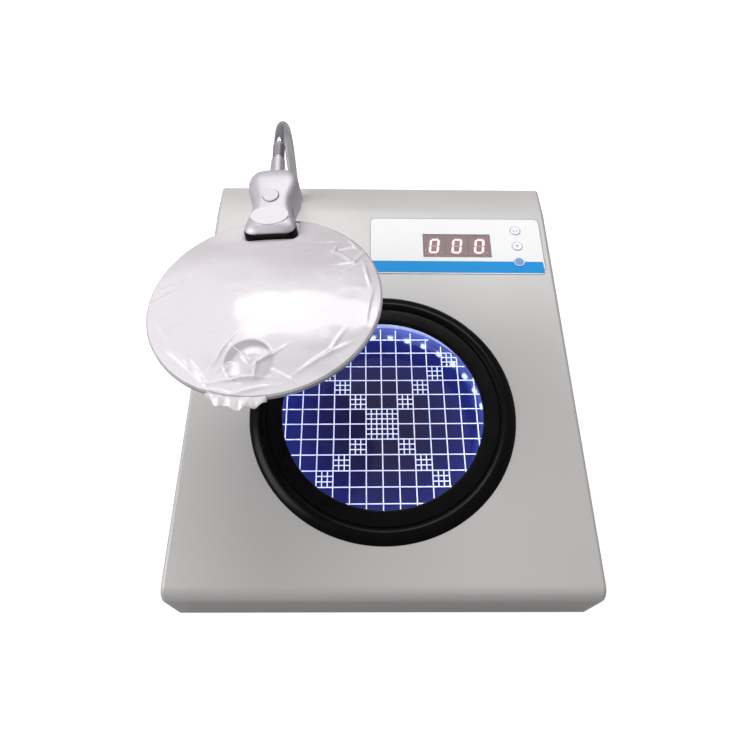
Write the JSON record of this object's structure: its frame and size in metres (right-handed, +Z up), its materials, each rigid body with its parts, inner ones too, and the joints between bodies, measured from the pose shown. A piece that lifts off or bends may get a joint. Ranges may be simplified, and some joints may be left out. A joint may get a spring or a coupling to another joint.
{
  "type": "colony counter",
  "caption": "Bench colony counter: sloped steel housing with a lit round grid well, a digit display with three keys, and a magnifier with button lamps on a bending gooseneck",
  "frame": {"origin": "centre of the plane the four rubber feet stand on, under the middle of the bounding box", "axes": "+X to the operator's right, +Y from the front to the back of the housing, +Z up"},
  "size_m": [0.23, 0.283, 0.1513],
  "materials": {
    "painted_sheet": "satin light grey powder coat on sheet steel",
    "zinc_sheet": "zinc-plated sheet steel",
    "screw_steel": "bright zinc plate",
    "foot_rubber": "matt black rubber",
    "bezel_plastic": "glossy black moulded plastic",
    "gasket_foam": "closed-cell foam",
    "chamber_plastic": "white moulded plastic",
    "strip_film": "white flexible circuit",
    "lamp_resin": "clear and white lamp resin",
    "grid_acrylic": "clear acrylic with printed white lines over dark blue",
    "field_film": "matt dark blue sheet",
    "membrane": "printed polyester membrane",
    "window_film": "clear smoke-tinted polyester",
    "digit_resin": "grey-faced moulded resin",
    "lit_segment": "lit red segment resin",
    "unlit_segment": "unlit segment resin",
    "circuit_board": "green solder mask on glass-fibre board",
    "component_resin": "black moulded resin",
    "key_plastic": "white key cap",
    "blue_key_plastic": "blue key cap",
    "inlet_plastic": "black moulded plastic",
    "plated_brass": "nickel-plated brass",
    "cable_vinyl": "grey vinyl ribbon cable",
    "chrome_steel": "bright chrome on steel tube",
    "collar_aluminium": "ribbed grey anodised",
    "socket_aluminium": "light grey satin",
    "silver_plastic": "silver metallic paint on moulded plastic",
    "inlay_plastic": "white plastic",
    "clamp_plastic": "black moulded plastic",
    "lens_acrylic": "clear polished acrylic",
    "film_polyethylene": "clear protective film",
    "cell_steel": "plated steel can"
  },
  "bodies": {
    "instrument": {"housing_cover": "painted_sheet", "base_plate": "zinc_sheet", "base_screws": "screw_steel", "rubber_feet": "foot_rubber", "foot_screws": "screw_steel", "foot_nuts": "screw_steel", "bezel_ring": "bezel_plastic", "bezel_gasket": "gasket_foam", "light_chamber": "chamber_plastic", "chamber_nuts": "screw_steel", "light_strip": "strip_film", "strip_lamps": "lamp_resin", "grid_plate": "grid_acrylic", "field_sheet": "field_film", "display_overlay": "membrane", "display_window": "window_film", "digit_modules": "digit_resin", "outer_segments": "lit_segment", "centre_segments": "unlit_segment", "control_board": "circuit_board", "board_screws": "screw_steel", "key_switches": "component_resin", "controller_chip": "component_resin", "rear_panel": "painted_sheet", "rear_screws": "screw_steel", "power_inlet": "inlet_plastic", "inlet_pins": "plated_brass", "inlet_screws": "screw_steel", "switch_frame": "inlet_plastic", "pen_jack": "plated_brass", "jack_nut": "screw_steel", "power_board": "circuit_board", "board_spacers": "screw_steel", "power_module": "component_resin", "ribbon_cable": "cable_vinyl", "gooseneck_bush": "chrome_steel", "gooseneck_washer": "screw_steel", "gooseneck_nut": "screw_steel"},
    "gooseneck_lower": {"gooseneck_stem": "chrome_steel"},
    "gooseneck_upper": {"gooseneck_arch": "chrome_steel"},
    "magnifier": {"ribbed_collar": "collar_aluminium", "neck_socket": "socket_aluminium", "hub_top_shell": "silver_plastic", "hub_bottom_shell": "silver_plastic", "hub_screws": "screw_steel", "oval_inlay": "inlay_plastic", "lens_clamp": "clamp_plastic", "magnifier_lens": "lens_acrylic", "lens_film": "film_polyethylene", "lamp_board": "circuit_board", "lamp_switch": "component_resin", "magnifier_lamps": "lamp_resin", "button_cells": "cell_steel", "battery_door": "silver_plastic"},
    "lamp_button_body": {"lamp_button": "silver_plastic"},
    "upper_key_body": {"upper_key": "key_plastic"},
    "middle_key_body": {"middle_key": "key_plastic"},
    "lower_key_body": {"lower_key": "blue_key_plastic"},
    "rocker_body": {"power_rocker": "inlet_plastic"}
  },
  "joints": [
    {"name": "gooseneck_swivel", "type": "hinge", "parent": "instrument", "child": "gooseneck_lower", "pos_m": [-0.0608, 0.1235, 0.07182], "axis": [0, 0, 1], "range_deg": [-60, 45]},
    {"name": "gooseneck_bend", "type": "hinge", "parent": "gooseneck_lower", "child": "gooseneck_upper", "pos_m": [-0.0608, 0.1235, 0.10932], "axis": [-0.9997, -0.0244, 0], "range_deg": [-8, 20]},
    {"name": "head_nod", "type": "hinge", "parent": "gooseneck_upper", "child": "magnifier", "pos_m": [-0.0598, 0.0825, 0.14497], "axis": [-0.9979, -0.0156, -0.0622], "range_deg": [-12, 35]},
    {"name": "lamp_button_press", "type": "slide", "parent": "magnifier", "child": "lamp_button_body", "axis": [0.0598, 0.1231, -0.9906], "range_m": [0, 0.0008], "stiffness_N_per_m": 800, "springref_m": -0.0005},
    {"name": "upper_key_press", "type": "slide", "parent": "instrument", "child": "upper_key_body", "axis": [0, 0.1219, -0.9925], "range_m": [0, 0.0003], "stiffness_N_per_m": 1500, "springref_m": -0.0003},
    {"name": "middle_key_press", "type": "slide", "parent": "instrument", "child": "middle_key_body", "axis": [0, 0.1219, -0.9925], "range_m": [0, 0.0003], "stiffness_N_per_m": 1500, "springref_m": -0.0003},
    {"name": "lower_key_press", "type": "slide", "parent": "instrument", "child": "lower_key_body", "axis": [0, 0.1219, -0.9925], "range_m": [0, 0.0003], "stiffness_N_per_m": 1500, "springref_m": -0.0003},
    {"name": "power_rocker_tilt", "type": "hinge", "parent": "instrument", "child": "rocker_body", "pos_m": [0.028, 0.134, 0.036], "axis": [1, 0, 0], "range_deg": [0, 20]}
  ]
}
